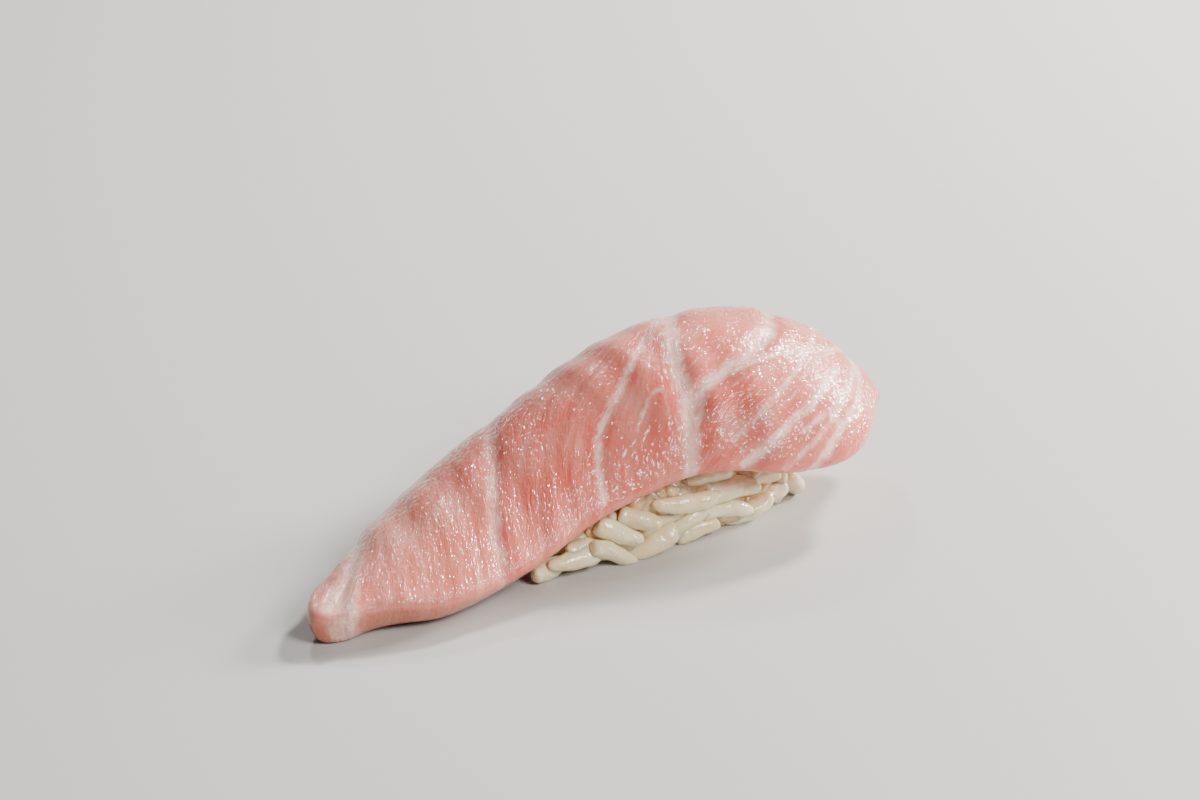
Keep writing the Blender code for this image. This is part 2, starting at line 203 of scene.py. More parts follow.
# Patterns of the flesh: scale, detail, roughness, distortion, and the range of it that is spread out
THREADS = ((2.2, 0.26, 1.0), 4.0, 0.6, 0.5, 0.40, 0.66)
THREAD_SHARE = 0.09
STRANDS = ((0.55, 0.075, 1.0), 4.0, 0.55, 0.8, 0.42, 0.70)
STRAND_SHARE = 0.13
MOTTLE = ((180, 180, 180), 5.0, 0.62, 0.4, 0.36, 0.66)
MOTTLE_SHARE = 0.40
RAGGED = ((1.4, 0.45, 1.0), 3.0, 0.6, 0.8, 0.30, 0.70, 0.35, 1.1)
TORN = ((650, 650, 650), 4.0, 0.6, 0.5)
SEAM_SPREAD = (0.68, 1.46)
EDGE_SHARE = 0.75
WET = ((1.9, 0.65, 1.0), 0.6, 0.5, 1.0)
WET_SHARE = 0.55
GRIT = ((1250, 1250, 1250), 0.6, 0.5, 0.6)
GRIT_SHARE = 0.45
SOFT_BUMP = 0.00007
CRISP_BUMP = 0.00050
PATTERN_RANGE = (0.3, 0.7)
FLESH_ROUGHNESS = (0.50, 0.36)
FLESH_SHADER = {
    "Subsurface Weight": 0.35,
    "Subsurface Radius": (1.0, 0.35, 0.25),
    "Subsurface Scale": 0.0025,
    "Coat Weight": 0.9,
    "Coat Roughness": 0.08,
    "Specular IOR Level": 0.25,
    "IOR": 1.4,
}

# The ball of rice
RICE_LEFT = -15.0
RICE_RIGHT = 28.4
RICE_Y = -1.6
RICE_HALF_WIDTH = 10.8
RICE_CORE_HEIGHT = 17.5
RICE_SQUARENESS = 2.6
RICE_CUTS = 24
CORE_SHRINK = 0.35
CORE_LEAST = 0.02
BEARING_SQUASH = 0.5
SEAT_GAP = 0.75
GRAIN_SINK = 0.55

# Grains of the shown side, one by one: place along X, height, how far out, tilt and turn in degrees,
# length, width
FRONT_GRAINS = (
    (-10.6, 1.3, 2.2, 5, -8, 6.5, 2.4),
    (-7.5, 2.3, 2.0, 2, -4, 8.2, 2.8),
    (-6.0, 3.6, 0.9, 0, 0, 6.0, 2.2),
    (-3.1, 1.3, 1.6, -32, 0, 6.9, 2.4),
    (-2.0, 4.1, 1.1, -24, 25, 5.8, 2.7),
    (0.8, 6.1, 1.5, -12, 35, 4.8, 2.7),
    (2.8, 1.4, 1.2, 19, 6, 6.9, 2.8),
    (7.9, 2.9, 0.6, 23, 4, 7.5, 2.8),
    (7.7, 5.8, 1.5, -5, 6, 8.6, 2.4),
    (4.0, 7.2, 0.3, 1, 0, 8.2, 2.8),
    (9.7, 1.3, 0.5, 10, 10, 5.6, 2.5),
    (15.1, 5.3, 0.4, -8, 0, 8.2, 3.6),
    (14.4, 2.7, 0.8, -11, 2, 7.8, 2.3),
    (18.1, 1.4, 1.0, 13, 8, 6.8, 2.3),
    (24.3, 1.9, 1.1, 76, 0, 4.4, 1.8),
    (26.0, 2.6, 1.5, -41, 14, 5.6, 2.8),
    (25.6, 4.6, 0.8, -8, 10, 5.4, 2.4),
    (22.1, 1.8, 0.4, 5, 4, 6.0, 2.2),
    (-2.4, 6.2, 0.1, 11, 0, 7.0, 2.4),
    (6.4, 1.1, 0.0, -1, 0, 6.8, 2.1),
    (12.4, 7.6, 0.1, -4, 0, 6.4, 2.6),
    (20.1, 5.2, 0.2, -10, 0, 7.0, 2.7),
)
ROW_SHOWN_FROM_DEG = 200
ROW_SHOWN_TO_DEG = 340
ROW_SHOWN_DEPTH = 0.9
ROW_OFFSET_DEG = 6.0  # where every second row starts
ROW_END_DEG = 356
# Grains all round by rule: heights of the rows, spacing along a row, extra depth, seed
GRAIN_RULES = (
    ((1.4, 3.6, 5.9, 8.2, 10.6), 5.2, 0.0, 11),
    ((1.3, 2.6, 4.7, 7.0, 9.4, 12.0, 14.0), 4.6, 0.35, 23),
)
RULE_LIFT = 0.5  # how far a grain may lie above or below its row
RULE_OUT = (-0.2, 0.9)  # how far out it may lie
RULE_TILT = (0, 75, 15)  # least, most and usual tilt in degrees
RULE_SPACING = (0.85, 1.15)
# Grains that lie on the table under the core
UNDER_ROWS = (-7.6, -5.2, -2.8, -0.4, 2.0, 4.4)
UNDER_MIDDLE = -0.8
UNDER_INSET = 2.0
UNDER_HEIGHT = 1.05
UNDER_SPACING = 5.6
UNDER_STEPS = (0.8, 1.1)
UNDER_TILT = 6
UNDER_ASIDE = (0.8, 0.6)
UNDER_SEED = 5
# Shapes of a grain: bend, taper towards one end, flattening, bluntness of the ends
GRAIN_SHAPES = ((0.07, 0.18, 0.90, 0.52), (-0.18, 0.26, 0.84, 0.58), (0.24, -0.20, 0.95, 0.48))
GRAIN_SIDES = 8
GRAIN_RINGS = 8
GRAIN_SWELL = 1.14  # makes up for what smoothing takes off
GRAIN_SIZES = (0.88, 1.06)
GRAIN_ROLL = 0.9
GRAIN_SEED = 3
# Places on a grain's skin that stay off the table and the slice, in half lengths and widths
GRAIN_PROBES = (
    (1, 0, 0), (-1, 0, 0), (0.55, 1, 0), (0.55, -1, 0), (-0.55, 1, 0), (-0.55, -1, 0),
    (0.55, 0, 1), (0.55, 0, -1), (-0.55, 0, 1), (-0.55, 0, -1),
)
SEAT_TRIES = 6
TABLE_DIP = 0.15  # how far a grain may reach below the table before it is pressed flat
TABLE_REST = 0.1  # how far a lifted grain still reaches below it
SWELL_SCALE = 400.0  # fineness of the noise that makes the grains uneven
SWELL_GAIN = 4.0
# Share of the painted gap shade, a brown that stands in for the shade between the grains: at most on the
# grains placed one by one, at least on the others, and on the core
SHOWN_TONE_AND_SHADE = 0.35
RULE_GAP_SHADE = 0.25
CORE_GAP_SHADE = 1.0

# Patterns of the rice, as for the flesh
CLOUD = ((420, 420, 420), 3.0, 0.5, 0.2, 0.35, 0.65)
CLOUD_SHARE = 0.15
GAP_SHADE_SHARE = 0.80
SKIN = ((1100, 1100, 1100), 1.0, 0.5, 0.6)
SKIN_BUMP = 0.00014
RICE_ROUGHNESS = (0.40, 0.24)
RICE_SHADER = {
    "Subsurface Weight": 0.6,
    "Subsurface Radius": (1.0, 0.8, 0.55),
    "Subsurface Scale": 0.0009,
    "Coat Weight": 1.0,
    "Coat Roughness": 0.07,
    "IOR": 1.4,
}

CAMERA_AZIMUTH_DEG = -33.0
CAMERA_ELEVATION_DEG = 25.0
CAMERA_TARGET = (0.539, 3.013, 10.0)
CAMERA_RIGHT = 2.88
CAMERA_UP = 6.18
LENS_MM = 100
SENSOR_MM = 36
NEAR_CLIP = 0.01
# Lights: name, bearing and height in degrees, distance and size in metres, colour
LIGHTS = (
    ("key", 108, 38, 0.6, 0.08, (1.0, 0.97, 0.93)),
    ("back", 160, 40, 0.6, 0.06, (1.0, 0.98, 0.96)),
    ("side", 86, 22, 0.6, 0.14, (1.0, 0.97, 0.93)),
    ("fill", 20, 40, 0.8, 0.30, (1.0, 0.98, 0.95)),
)
LIGHT_AIM = (0, 0, 0.01)
SKY = {"Color": (0.9, 0.92, 0.95, 1.0), "Strength": 0.12}
FLOOR_HALF = 3.0
FLOOR_ROUGHNESS = 0.55


def colour_property(name, description, default):
    return FloatVectorProperty(
        name=name, description=description, default=default, subtype="COLOR", min=0, max=1)


def length_property(name, description, default, **limits):
    return FloatProperty(
        name=name, description=description, default=default,
        unit="LENGTH", subtype="DISTANCE", **limits)


def power_property(name, default):
    return FloatProperty(name=name, description="Power in watts", default=default, min=0)


class SliceSettings(bpy.types.PropertyGroup):
    """Sizes and colours of the fish slice."""

    flesh_colour: colour_property("Flesh", "Colour of the lean flesh", (0.74, 0.12, 0.078))
    # Also painted as shade low on the front of the pointed end.
    deep_colour: colour_property("Deep flesh", "Colour of the reddest flesh", (0.60, 0.07, 0.04))
    # Also painted as light on the top of the right part.
    pale_colour: colour_property("Pale flesh", "Colour of flesh that is full of fat", (0.72, 0.31, 0.24))
    # The fat colour is also painted as highlight: the glossy slant streaks and the line along the pointed
    # end's cut edge.
    fat_and_gloss_colour: colour_property("Fat", "Colour of the seams of fat", (0.96, 0.65, 0.57))
    edge_colour: colour_property("Cut edge", "Colour of the cut edges and under face", (0.60, 0.17, 0.09))
    relief: FloatProperty(
        name="Relief", description="How strong the fine relief of fibres is",
        default=1.0, min=0, max=3)


class RiceSettings(bpy.types.PropertyGroup):
    """Sizes and colours of the rice."""

    grain_length: length_property(
        "Grain length", "Length of a cooked grain", 0.0070, min=0.004, max=0.01)
    grain_width: length_property(
        "Grain width", "Width of a cooked grain", 0.0028, min=0.001, max=0.005)
    unevenness: length_property(
        "Unevenness", "How far a grain's skin swells out of shape", 0.00026, min=0, max=0.001)
    seed: IntProperty(name="Seed", description="Seed of the unevenness", default=7, min=0)
    grain_colour: colour_property("Grain", "Colour of the cooked grains", (0.93, 0.84, 0.56))
    # Painted shade: this brown stands in for the shade deep between the grains.
    painted_gap_shade: colour_property("Gaps", "Colour deep between the grains", (0.74, 0.40, 0.16))


class StageSettings(bpy.types.PropertyGroup):
    """The floor, the light and the camera."""

    floor_colour: colour_property("Floor", "Colour of the plain floor", (0.52, 0.51, 0.49))
    key_power: power_property("Key light", 5.4)
    back_power: power_property("Back light", 1.0)
    side_power: power_property("Side light", 7.4)
    fill_power: power_property("Fill light", 6.8)
    camera_distance: length_property(
        "Camera distance", "From the camera to the middle of the nigiri", 0.42, min=0.1)


def in_metres(points):
    """Points of the drawing, in the part's own frame."""
    return (np.asarray(points, float) - ORIGIN) * MM


def smooth_line(places, values, x):
    """A smooth curve through values at places, read at x."""
    places, values, x = (np.asarray(a, float) for a in (places, values, x))
    span = np.diff(places)
    rise = np.diff(values) / span
    slope = np.empty_like(values)
    slope[0], slope[-1] = rise[0], rise[-1]
    slope[1:-1] = (rise[:-1] * span[1:] + rise[1:] * span[:-1]) / (span[:-1] + span[1:])
    i = np.clip(np.searchsorted(places, x) - 1, 0, len(span) - 1)
    t = (x - places[i]) / span[i]
    bend = (2 * t**3 - 3 * t**2 + 1) * values[i] + (3 * t**2 - 2 * t**3) * values[i + 1]
    lean = (t**3 - 2 * t**2 + t) * slope[i] + (t**3 - t**2) * slope[i + 1]
    return bend + lean * span[i]


def fade(value, low, high):
    """Rises smoothly from 0 at low to 1 at high."""
    t = np.clip((value - low) / (high - low), 0, 1)
    return t * t * (3 - 2 * t)


def lattice_noise(u, v, seed):
    """Smooth random heights from -1 to 1 over a plane, one cell to a unit."""
    table = np.random.default_rng(seed).uniform(-1, 1, (LATTICE, LATTICE))
    left, near = np.floor(u).astype(int), np.floor(v).astype(int)
    across, up = fade(u - left, 0, 1), fade(v - near, 0, 1)

    def row(place):
        here = table[left % LATTICE, place % LATTICE]
        beyond = table[(left + 1) % LATTICE, place % LATTICE]
        return here * (1 - across) + beyond * across

    return row(near) * (1 - up) + row(near + 1) * up


def plan_x(along, across):
    """X of a point of the slice; its ends are rounded in plan, so the corners lie further in."""
    low, high = STATION_X[0], STATION_X[-1]
    x = low + (high - low) * along
    tail = np.clip(1 - (x - low) / TAIL_ROUND_REACH, 0, 1)
    tip = np.clip(1 - (high - x) / TIP_ROUND_REACH, 0, 1)
    tail_corner = TAIL_ROUND * tail * np.abs(across) ** TAIL_POWER
    tip_corner = TIP_ROUND * tip**TIP_POWER * (across - TIP_SKEW) ** 2
    return x + tail_corner - tip_corner


def side_arc(x, front):
    """Radius and drop, in radians, of the top face's arc on one side of the ridge."""
    girth = smooth_line(STATION_X, np.where(front, FRONT_GIRTH, BACK_GIRTH), x)
    drop = np.radians(smooth_line(STATION_X, np.where(front, FRONT_DROP, BACK_DROP), x))
    return girth / drop, drop


def slice_top(along, across):
    """A point of the slice's top face, without its relief."""
    x = plan_x(along, across)
    front_radius, front_drop = side_arc(x, True)
    back_radius, back_drop = side_arc(x, False)
    radius = np.where(across < 0, front_radius, back_radius)
    angle = np.where(across < 0, front_drop, back_drop) * across
    y = smooth_line(STATION_X, RIDGE_Y, x) + radius * np.sin(angle)
    z = smooth_line(STATION_X, RIDGE_Z, x) - radius * (1 - np.cos(angle))
    return np.stack([x, y, z], -1)


def way_out(along, across):
    """The unit direction out of the slice's top face."""
    step = 0.001
    lengthways = slice_top(along + step, across) - slice_top(along - step, across)
    crossways = slice_top(along, across + step) - slice_top(along, across - step)
    out = np.cross(lengthways, crossways)
    return out / np.linalg.norm(out, axis=-1, keepdims=True)


def side_girth(x, across):
    """How far the face reaches from the ridge, on the side that a place lies on."""
    front_girth = smooth_line(STATION_X, FRONT_GIRTH, x)
    back_girth = smooth_line(STATION_X, BACK_GIRTH, x)
    return np.where(across < 0, front_girth, back_girth)


def reach_across(x, across):
    """Distance from the ridge, measured on the face, towards the back."""
    return across * side_girth(x, across)


def course_line(course):
    """A course as many points: X and the place across."""
    knots = np.arange(len(course))
    fine = np.linspace(0, knots[-1], SEAM_STEPS * len(course))
    return tuple(smooth_line(knots, [place[axis] for place in course], fine) for axis in (0, 1))


def seam_distance(x, across, course):
    """How far points of the top face lie from a seam, measured on the face."""
    seam_x, seam_across = course_line(course)
    girth = side_girth(x, across)[..., None]
    gaps = (x[..., None] - seam_x) ** 2 + ((across[..., None] - seam_across) * girth) ** 2
    return np.sqrt(gaps.min(axis=-1))


def guided_levels(x, across, guides):
    """A smooth field whose level lines run along the guides: the fibres follow them."""
    places, levels = [], []
    for level, course in guides:
        line_x, line_across = course_line(course)
        line = np.stack([line_x, reach_across(line_x, line_across)], -1)[::GUIDE_STRIDE]
        places.append(line)
        levels.append(np.full(len(line), level))
    places, levels = np.concatenate(places), np.concatenate(levels)

    def bend(gap):
        return gap**2 * np.log(gap + 1e-6)

    count = len(places)
    gaps = np.linalg.norm(places[:, None] - places[None], axis=-1)
    flat = np.concatenate([np.ones((count, 1)), places], axis=1)
    system = np.zeros((count + 3, count + 3))
    system[:count, :count] = bend(gaps) + GUIDE_STIFFNESS * np.eye(count)
    system[:count, count:] = flat
    system[count:, :count] = flat.T
    weights = np.linalg.solve(system, np.append(levels, np.zeros(3)))
    face = np.stack([x, reach_across(x, across)], -1)
    field = weights[count] + face @ weights[count + 1:]
    for place, weight in zip(places, weights[:count]):
        field = field + weight * bend(np.linalg.norm(face - place, axis=-1))
    return field


def fibre_places(x, across):
    """Place across and along the fibres, in millimetres, on both sides of the middle seam."""
    reach = reach_across(x, across)
    order = sorted(MIDDLE_COURSE, key=lambda place: place[1])
    seam_x = smooth_line([place[1] for place in order], [place[0] for place in order], across)
    right = fade(x - seam_x, -BLOCK_BLEND, BLOCK_BLEND)
    beside = guided_levels(x, across, LEFT_GUIDES) * (1 - right)
    beside = beside + guided_levels(x, across, RIGHT_GUIDES) * right + BLOCK_SHIFT * right
    left_run, right_run = reach + BLOCK_SLANTS[0] * x, x + BLOCK_SLANTS[1] * reach
    lengthways = left_run * (1 - right) + right_run * right
    return beside, lengthways


def seam_relief(x, across):
    """A groove along each seam, and low flakes between them, as on the solid."""
    phase = 2 * np.pi * (x - FLAKE_LEAN * across) / FLAKE_PITCH
    phase = phase + FLAKE_WAVER[0] * np.sin(x / FLAKE_WAVER[1])
    patches = 1 + np.sin(x / FLAKE_PATCHES[0] + FLAKE_PATCHES[1] * across)
    height = FLAKE_HEIGHT * np.sin(phase) * patches
    for depth, width, course in SEAMS:
        height = height - depth * np.exp(-((seam_distance(x, across, course) / width) ** 2))
    return height


def fine_relief(x, across, beside, lengthways):
    """The fibres and the soft swells of the wet face."""
    height = np.zeros_like(x)
    for index, (tall, wide, long) in enumerate(FIBRE_RELIEF):
        height = height + tall * lattice_noise(beside / wide, lengthways / long, FIBRE_SEED + index)
    reach = reach_across(x, across)
    for index, (tall, size) in enumerate(SWELL_RELIEF):
        u, v = x / size + SWELL_SHIFT, reach / size + SWELL_SHIFT
        height = height + tall * lattice_noise(u, v, SWELL_SEED + index)
    return height


def fat_and_gloss_amount(x, across):
    """How much of each place is a line of fat, with the painted highlight streaks among them, from 0 to
    1.
    """
    lean = np.ones_like(x)
    for amount, width, course in FAT_AND_GLOSS_LINES:
        lean = lean * (1 - amount * np.exp(-((seam_distance(x, across, course) / width) ** 2)))
    return 1 - lean


def patch_amounts(x, across):
    """How pale and how deep each place's tone is, from 0 to 1, with some painted light and shade among
    the patches.
    """
    pale, deep = np.zeros_like(x), np.zeros_like(x)
    for middle_x, middle_across, wide, high, more_pale, more_deep in TONE_LIGHT_AND_SHADE_PATCHES:
        gap = ((x - middle_x) / wide) ** 2 + ((across - middle_across) / high) ** 2
        pale = np.maximum(pale, more_pale * np.exp(-gap))
        deep = np.maximum(deep, more_deep * np.exp(-gap))
    for amount, width, shift, course in DEEP_LINES:
        gap = (seam_distance(x - shift, across, course) / width) ** 2
        deep = np.maximum(deep, amount * np.exp(-gap))
    return pale, deep


def slice_rim(last_row, last_column):
    """Grid places round the slice's outline: front edge, pointed end, back edge, tail."""
    front = [(row, 0) for row in range(last_row)]
    tip = [(last_row, column) for column in range(last_column)]
    back = [(row, last_column) for row in range(last_row, 0, -1)]
    tail = [(0, column) for column in range(last_column, 0, -1)]
    return np.array(front + tip + back + tail)


def grid_squares(rows, columns, first, flipped):
    """The faces of a grid of points, numbered from first."""
    row, column = np.meshgrid(np.arange(rows), np.arange(columns), indexing="ij")
    corner = first + row * (columns + 1) + column
    square = np.stack([corner, corner + columns + 1, corner + columns + 2, corner + 1], -1)
    square = square.reshape(-1, 4)
    return square[:, ::-1] if flipped else square


def rim_gap(smooth):
    """How far each place of the face lies from the nearest cut edge, counted along the grid."""
    gaps = []
    for axis, start in enumerate((smooth[:1], smooth[:, :1])):
        steps = np.linalg.norm(np.diff(smooth, axis=axis, prepend=start), axis=-1)
        reach = np.cumsum(steps, axis=axis)
        gaps += [reach, np.take(reach, [-1], axis=axis) - reach]
    return np.minimum.reduce(gaps)


def edge_rings(smooth, top, under, rim):
    """Rings of points down the cut edge, which bulges between the top face and the under face."""
    last_row, last_column = smooth.shape[0] - 1, smooth.shape[1] - 1
    at_rim = (rim[:, 0], rim[:, 1])
    inner = (np.clip(rim[:, 0], 1, last_row - 1), np.clip(rim[:, 1], 1, last_column - 1))
    sideways = smooth[at_rim] - smooth[inner]
    sideways = sideways / np.linalg.norm(sideways, axis=-1, keepdims=True) * EDGE_BULGE
    rings = []
    for ring in range(1, RIM_RINGS + 1):
        turn = math.pi * ring / (RIM_RINGS + 1) - math.pi / 2
        share = (1 + math.sin(turn)) / 2
        rings.append(top[at_rim] * (1 - share) + under[at_rim] * share + sideways * math.cos(turn))
    return rings


def slice_faces(rows, columns, rim):
    """The faces of the whole skin: the top face, the under face and the cut edge between."""
    face_size = (rows + 1) * (columns + 1)
    rim_index = rim[:, 0] * (columns + 1) + rim[:, 1]
    rounds = [rim_index]
    for ring in range(RIM_RINGS):
        rounds.append(2 * face_size + ring * len(rim) + np.arange(len(rim)))
    rounds.append(face_size + rim_index)
    faces = [grid_squares(rows, columns, 0, False), grid_squares(rows, columns, face_size, True)]
    for upper, lower in zip(rounds[:-1], rounds[1:]):
        faces.append(np.stack([upper, lower, np.roll(lower, -1), np.roll(upper, -1)], -1))
    return np.concatenate(faces)


def on_whole_skin(values, at_rim, step=0.0, least=None):
    """Values of the face for the top, the under face and the rings, with a step from ring to ring."""
    wall = []
    for ring in range(1, RIM_RINGS + 1):
        level = values[at_rim] + step * ring
        wall.append(level if least is None else np.maximum(level, least))
    return np.concatenate([values.reshape(-1), values.reshape(-1), *wall])


def paint_slice(mesh, x, across, fibres, rim):
    """Gives the skin its values: place among the fibres, fat with painted highlight streaks, pale and
    deep tone with some painted light and shade, cut edge.
    """
    at_rim = (rim[:, 0], rim[:, 1])
    beside = on_whole_skin(fibres[0], at_rim)
    lengthways = on_whole_skin(fibres[1], at_rim, step=WALL_STEP)
    fibre = np.stack([beside, lengthways, np.zeros(len(beside))], -1)
    add_attribute(mesh, "fibre", "FLOAT_VECTOR", "vector", fibre)

    # Painted highlight in part: the cream line along the cut edge of the pointed end.
    cream_and_gloss = EDGE_FAT_AND_GLOSS * fade(x[at_rim], *EDGE_FAT_AND_GLOSS_RISE)
    fat_and_gloss = on_whole_skin(fat_and_gloss_amount(x, across), at_rim, least=cream_and_gloss * (across[at_rim] < EDGE_FAT_AND_GLOSS_SIDE))
    pale, deep = (on_whole_skin(amount, at_rim) for amount in patch_amounts(x, across))
    add_attribute(mesh, "tone", "FLOAT_VECTOR", "vector", np.stack([fat_and_gloss, pale, deep], -1))

    cut = np.ones(len(beside))
    cut[:x.size] = 0
    add_attribute(mesh, "cut_edge", "FLOAT", "value", cut)


def make_slice(settings):
    """The slice as one closed skin: arched top face, under face, and a rounded cut edge between."""
    rows, columns = SLICE_ROWS, SLICE_COLUMNS
    places = np.meshgrid(np.linspace(0, 1, rows + 1), np.linspace(-1, 1, columns + 1), indexing="ij")
    along, across = places
    smooth = slice_top(along, across)
    x = smooth[..., 0]
    out = way_out(along, across)
    fibres = fibre_places(x, across)
    inside = np.clip(rim_gap(smooth) / EDGE_REACH, 0, 1)
    rounding = EDGE_SOFTNESS * (1 - np.sqrt(1 - (1 - inside) ** 2))
    height = seam_relief(x, across) - rounding
    height = height + settings.relief * fine_relief(x, across, *fibres)
    thickness = smooth_line(STATION_X, THICKNESS, x)
    top = smooth + out * height[..., None]
    under = smooth - out * (thickness - rounding)[..., None]
    under[..., 2] = np.maximum(under[..., 2], 0.0)

    rim = slice_rim(rows, columns)
    rings = edge_rings(smooth, top, under, rim)
    points = np.concatenate([top.reshape(-1, 3), under.reshape(-1, 3), *rings])
    points[:, 2] = np.maximum(points[:, 2], 0.0)
    mesh = bpy.data.meshes.new("fish_slice")
    mesh.from_pydata(in_metres(points).tolist(), [], slice_faces(rows, columns, rim).tolist())
    mesh.shade_smooth()
    paint_slice(mesh, x, across, fibres, rim)
    return add_object("fish_slice", mesh)


def add_object(name, data):
    """An object of the scene with this data."""
    made = bpy.data.objects.new(name, data)
    bpy.context.scene.collection.objects.link(made)
    return made


def add_attribute(mesh, name, kind, field, values):
    """Gives each point of a mesh a value under a name."""
    attribute = mesh.attributes.new(name, kind, "POINT")
    attribute.data.foreach_set(field, np.asarray(values, np.float32).reshape(-1))


def new_material(name):
    """An empty material with its shader, ready for patterns."""
    material = bpy.data.materials.new(name)
    material.use_nodes = True
    return material, material.node_tree, material.node_tree.nodes["Principled BSDF"]


def add_node(tree, kind, inputs=(), **settings):
    """A node with its settings; an input takes a plain value or another node's output."""
    made = tree.nodes.new(kind)
    for name, value in settings.items():
        setattr(made, name, value)
    for name, value in dict(inputs).items():
        if isinstance(value, bpy.types.NodeSocket):
            tree.links.new(value, made.inputs[name])
        else:
            made.inputs[name].default_value = value
    return made


def read_attribute(tree, name, output):
    return add_node(tree, "ShaderNodeAttribute", attribute_name=name).outputs[output]


def noise(tree, vector, scale, detail, roughness, distortion):
    """A noise pattern, with its own scale in each direction."""
    scaled = add_node(tree, "ShaderNodeVectorMath", {0: vector, 1: scale}, operation="MULTIPLY")
    inputs = {
        "Vector": scaled.outputs[0], "Scale": 1.0, "Detail": detail,
        "Roughness": roughness, "Distortion": distortion,
    }
    return add_node(tree, "ShaderNodeTexNoise", inputs).outputs["Fac"]


def ramp(tree, value, low, high, to_low=0.0, to_high=1.0):
    """Spreads a value between two limits over a new range."""
    inputs = {"Value": value, "From Min": low, "From Max": high, "To Min": to_low, "To Max": to_high}
    spread = add_node(tree, "ShaderNodeMapRange", inputs, interpolation_type="SMOOTHSTEP")
    return spread.outputs["Result"]


def spread_noise(tree, vector, scale, detail, roughness, distortion, low, high, *new_range):
    """A noise pattern whose range from low to high is spread out."""
    return ramp(tree, noise(tree, vector, scale, detail, roughness, distortion), low, high, *new_range)


def add_bump(tree, shader, height, depth, *sockets):
    """A bump of a depth in metres on some of the shader's normals."""
    bump = add_node(tree, "ShaderNodeBump", {"Strength": 1.0, "Distance": depth, "Height": height})
    for socket in sockets:
        tree.links.new(bump.outputs[0], shader.inputs[socket])


def set_shader(shader, values):
    """Plain numbers on the shader's own sockets."""
    for name, value in values.items():
        shader.inputs[name].default_value = value


def maths(tree, operation, first, second):
    return add_node(tree, "ShaderNodeMath", {0: first, 1: second}, operation=operation).outputs[0]


def mix_colours(tree, share, first, second):
    """One colour into another by a share."""
    mix = add_node(tree, "ShaderNodeMix", data_type="RGBA")
    for socket, value in ((mix.inputs[0], share), (mix.inputs[6], first), (mix.inputs[7], second)):
        if isinstance(value, bpy.types.NodeSocket):
            tree.links.new(value, socket)
        else:
            socket.default_value = (*value, 1.0)
    return mix.outputs[2]


def flesh_material(settings):
    """Wet raw fish: pink flesh with fibres, broad marbling and seams of fat, with some painted highlights
    and shade.
    """
    material, tree, shader = new_material("tuna_belly")
    fibre = read_attribute(tree, "fibre", "Vector")
    tone = add_node(tree, "ShaderNodeSeparateXYZ", {0: read_attribute(tree, "tone", "Vector")})
    fat_and_gloss, pale, deep = tone.outputs
    cut = read_attribute(tree, "cut_edge", "Fac")
    place = add_node(tree, "ShaderNodeTexCoord").outputs["Object"]

    mottle = maths(tree, "MULTIPLY", spread_noise(tree, place, *MOTTLE), MOTTLE_SHARE)
    flesh = mix_colours(tree, mottle, settings.flesh_colour, settings.pale_colour)
    flesh = mix_colours(tree, deep, flesh, settings.deep_colour)
    flesh = mix_colours(tree, pale, flesh, settings.pale_colour)
    cut = maths(tree, "MULTIPLY", cut, EDGE_SHARE)
    flesh = mix_colours(tree, cut, flesh, settings.edge_colour)

    threads = maths(tree, "MULTIPLY", spread_noise(tree, fibre, *THREADS), THREAD_SHARE)
    strands = maths(tree, "MULTIPLY", spread_noise(tree, fibre, *STRANDS), STRAND_SHARE)
    marbled = maths(tree, "ADD", threads, strands)
    torn = maths(tree, "ADD", fat_and_gloss, noise(tree, place, *TORN))
    ragged = spread_noise(tree, fibre, *RAGGED)
    seam = maths(tree, "MULTIPLY", ramp(tree, torn, *SEAM_SPREAD), ragged)
    whole = maths(tree, "MAXIMUM", marbled, seam)
    whole = add_node(tree, "ShaderNodeClamp", {"Value": whole}).outputs[0]
    colour = mix_colours(tree, whole, flesh, settings.fat_and_gloss_colour)
    tree.links.new(colour, shader.inputs["Base Color"])

    wet = noise(tree, fibre, *WET)
    drops = maths(tree, "MULTIPLY", wet, WET_SHARE)
    grit = maths(tree, "MULTIPLY", noise(tree, place, *GRIT), GRIT_SHARE)
    height = maths(tree, "ADD", drops, grit)
    add_bump(tree, shader, height, SOFT_BUMP, "Normal")
    add_bump(tree, shader, height, CRISP_BUMP, "Coat Normal")
    tree.links.new(ramp(tree, wet, *PATTERN_RANGE, *FLESH_ROUGHNESS), shader.inputs["Roughness"])
    set_shader(shader, FLESH_SHADER)
    return material


def seat_limit(x, y):
    """The height that the rice stays under at a place, so that it clears the slice."""
    x = float(np.clip(x, STATION_X[0], STATION_X[-1]))
    off = y - float(smooth_line(STATION_X, RIDGE_Y, x))
    radius, drop = (float(a) for a in side_arc(x, off < 0))
    ridge = smooth_line(STATION_X, RIDGE_Z, (x - 0.5, x, x + 0.5))
    steepness = math.hypot(1.0, float(ridge[2] - ridge[0]))
    thickness = float(smooth_line(STATION_X, THICKNESS, x)) * steepness
    inner = radius - thickness - SEAT_GAP
    centre_z = float(ridge[1]) - radius
    if abs(off) < inner * math.sin(drop):
        return centre_z + math.sqrt(inner**2 - off**2)
    if abs(off) < radius * math.sin(drop) + SEAT_GAP:
        return centre_z + inner * math.cos(drop)
    return RICE_CORE_HEIGHT


def core_middle():
    return np.array([(RICE_RIGHT + RICE_LEFT) / 2, RICE_Y, 0.0])


def core_half():
    return np.array([(RICE_RIGHT - RICE_LEFT) / 2, RICE_HALF_WIDTH, RICE_CORE_HEIGHT])


def core_surface(direction, shrink=0.0):
    """The point of the pressed core that lies in a direction from its middle at the table."""
    parts = np.abs(direction / (core_half() - shrink)) ** RICE_SQUARENESS
    return core_middle() + direction / parts.sum() ** (1 / RICE_SQUARENESS)


